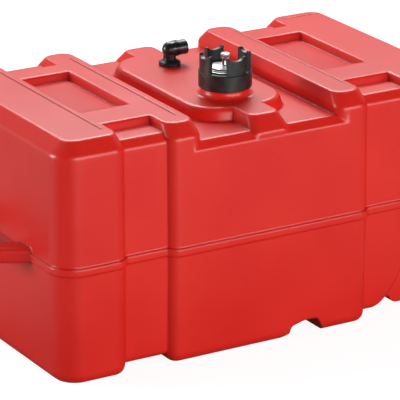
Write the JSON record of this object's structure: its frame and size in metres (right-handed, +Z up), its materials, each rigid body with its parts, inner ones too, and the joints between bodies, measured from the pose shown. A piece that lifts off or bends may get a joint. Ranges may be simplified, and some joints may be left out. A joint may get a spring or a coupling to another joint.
{
  "type": "portable outboard fuel tank",
  "caption": "Portable moulded fuel tank for an outboard motor, with loop handles, strap channels, a vented screw cap and a swivelling outlet elbow.",
  "frame": {"origin": "centre of the base, on the surface the tank stands on", "axes": "+X along the tank's length towards the end with the cut-away lower corners, +Y to the back, +Z up"},
  "size_m": [0.684, 0.3456, 0.3333],
  "materials": {
    "red_polyethylene": "satin",
    "black_nylon": "satin",
    "black_elbow_nylon": "semi-gloss",
    "plated_zinc": "satin",
    "turned_aluminium": "machined",
    "spring_steel": "drawn",
    "stainless_sheet": "stamped",
    "stainless_mesh": "woven",
    "nitrile_rubber": "matte",
    "white_acetal": "satin"
  },
  "bodies": {
    "tank": {"tank_body": "red_polyethylene", "pickup_bushing": "black_nylon", "pickup_gasket": "nitrile_rubber", "dip_tube": "white_acetal", "filter_cage": "white_acetal", "filter_screen": "stainless_mesh"},
    "cap_lifter": {"fill_cap_gasket": "nitrile_rubber"},
    "cap": {"fill_cap": "black_nylon", "valve_body": "turned_aluminium", "valve_body_gasket": "nitrile_rubber", "valve_body_nut": "black_nylon", "vent_stem_seal": "nitrile_rubber", "relief_seat": "stainless_sheet"},
    "relief_valve": {"relief_disc": "stainless_sheet", "relief_disc_seal": "nitrile_rubber", "relief_spring": "spring_steel"},
    "vent_tip": {"vent_screw_tip": "nitrile_rubber"},
    "vent_knob": {"vent_screw": "plated_zinc"},
    "outlet_elbow": {"pickup_elbow": "black_elbow_nylon", "elbow_seal": "nitrile_rubber", "elbow_snap_ring": "spring_steel"}
  },
  "joints": [
    {"name": "cap_lift", "type": "slide", "parent": "tank", "child": "cap_lifter", "axis": [0, 0, 1], "range_m": [0, 0.06]},
    {"name": "cap_turn", "type": "hinge", "parent": "cap_lifter", "child": "cap", "pos_m": [0, -0.061, 0.31], "axis": [0, 0, 1], "range_deg": [0, 576]},
    {"name": "relief_lift", "type": "slide", "parent": "cap", "child": "relief_valve", "axis": [0, 0, 1], "range_m": [0, 0.0015], "stiffness_N_per_m": 400, "springref_m": -0.002, "deforming": ["relief_spring"]},
    {"name": "vent_rise", "type": "slide", "parent": "cap", "child": "vent_tip", "axis": [0, 0, 1], "range_m": [0, 0.004]},
    {"name": "vent_turn", "type": "hinge", "parent": "vent_tip", "child": "vent_knob", "pos_m": [0, -0.061, 0.32], "axis": [0, 0, 1], "range_deg": [0, 1440]},
    {"name": "elbow_swivel", "type": "hinge", "parent": "tank", "child": "outlet_elbow", "pos_m": [0, 0.07, 0.3025], "axis": [0, 0, 1], "continuous": true}
  ],
  "couplings": [
    {"joint": "vent_rise", "follows": "vent_turn", "m_per_rad": 0.00015915}
  ]
}
